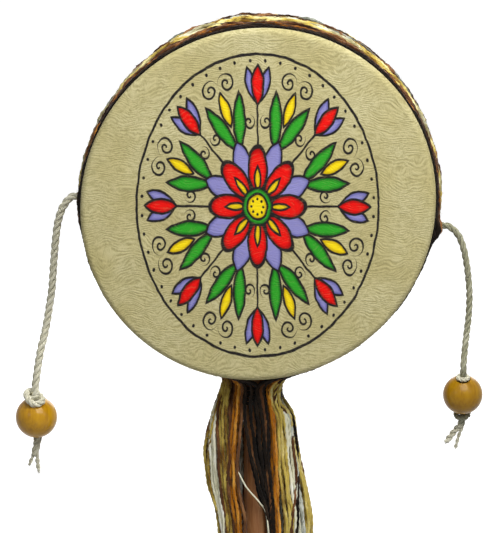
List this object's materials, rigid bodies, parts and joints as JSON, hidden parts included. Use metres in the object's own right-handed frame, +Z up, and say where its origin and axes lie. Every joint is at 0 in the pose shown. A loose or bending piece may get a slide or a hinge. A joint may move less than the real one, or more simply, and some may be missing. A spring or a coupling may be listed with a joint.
{
  "type": "pellet drum rattle",
  "caption": "Two-headed hand drum on a stick, with beads on cords that swing and strike its skin heads, a yarn-covered rim and a yarn tassel.",
  "frame": {"origin": "on the handle's axis, at the middle of the bare grip below the tassel, where a hand or a stand holds the drum", "axes": "+Z up along the handle towards the drum, +Y from the front head to the back head, +X to the right as seen from the front"},
  "size_m": [0.1634, 0.04, 0.2775],
  "materials": {
    "shell_wood": "plain planed wood",
    "skin": "matt tan skin with fine wrinkles",
    "dark_cord": "dark brown cord",
    "black_yarn": "soft black yarn",
    "brown_yarn": "soft brown yarn",
    "gold_yarn": "soft golden yarn",
    "cream_yarn": "soft cream yarn",
    "orange_yarn": "soft burnt orange yarn",
    "grey_yarn": "soft grey yarn",
    "dark_wood": "dark stained wood",
    "steel": "bare steel",
    "cotton": "twisted undyed cotton",
    "bead_wood": "varnished honey-coloured wood"
  },
  "bodies": {
    "drum": {"shell": "shell_wood", "front_head": "skin", "back_head": "skin", "front_binding": "dark_cord", "back_binding": "dark_cord", "yarn_core": "gold_yarn", "black_yarn": "black_yarn", "brown_yarn": "brown_yarn", "gold_yarn": "gold_yarn", "cream_yarn": "cream_yarn", "orange_yarn": "orange_yarn", "grey_yarn": "grey_yarn", "tassel_tie": "dark_cord", "handle": "dark_wood", "handle_nail": "steel", "left_anchor_knot": "cotton", "left_exit_cord": "cotton", "right_anchor_knot": "cotton", "right_exit_cord": "cotton"},
    "left_crook": {"left_cord_crook": "cotton"},
    "left_upper": {"left_cord_upper": "cotton"},
    "left_lower": {"left_cord_lower": "cotton", "left_top_knot": "cotton", "left_end_knot": "cotton", "left_tails": "cotton"},
    "left_striker": {"left_bead": "bead_wood"},
    "right_crook": {"right_cord_crook": "cotton"},
    "right_upper": {"right_cord_upper": "cotton"},
    "right_lower": {"right_cord_lower": "cotton", "right_top_knot": "cotton", "right_end_knot": "cotton", "right_tails": "cotton"},
    "right_striker": {"right_bead": "bead_wood"}
  },
  "joints": [
    {"name": "left_cord_lift", "type": "hinge", "parent": "drum", "child": "left_crook", "pos_m": [-0.0688, 0, 0.177], "axis": [0, 1, 0], "range_deg": [-10, 95]},
    {"name": "left_cord_swing", "type": "hinge", "parent": "left_crook", "child": "left_upper", "pos_m": [-0.0688, 0, 0.177], "axis": [-1, 0, 0], "range_deg": [-90, 90]},
    {"name": "left_cord_fold", "type": "hinge", "parent": "left_upper", "child": "left_lower", "pos_m": [-0.0724, 0, 0.1495], "axis": [-1, 0, 0], "range_deg": [-90, 90]},
    {"name": "left_bead_turn", "type": "hinge", "parent": "left_lower", "child": "left_striker", "pos_m": [-0.0784, 0, 0.103], "axis": [0, -0.342, 0.9397], "continuous": true},
    {"name": "right_cord_lift", "type": "hinge", "parent": "drum", "child": "right_crook", "pos_m": [0.0693, 0, 0.16814], "axis": [0, -1, 0], "range_deg": [-10, 95]},
    {"name": "right_cord_swing", "type": "hinge", "parent": "right_crook", "child": "right_upper", "pos_m": [0.0693, 0, 0.16814], "axis": [-1, 0, 0], "range_deg": [-90, 90]},
    {"name": "right_cord_fold", "type": "hinge", "parent": "right_upper", "child": "right_lower", "pos_m": [0.0727, 0, 0.14064], "axis": [-1, 0, 0], "range_deg": [-90, 90]},
    {"name": "right_bead_turn", "type": "hinge", "parent": "right_lower", "child": "right_striker", "pos_m": [0.071, 0, 0.11164], "axis": [0, -0.342, 0.9397], "continuous": true}
  ]
}
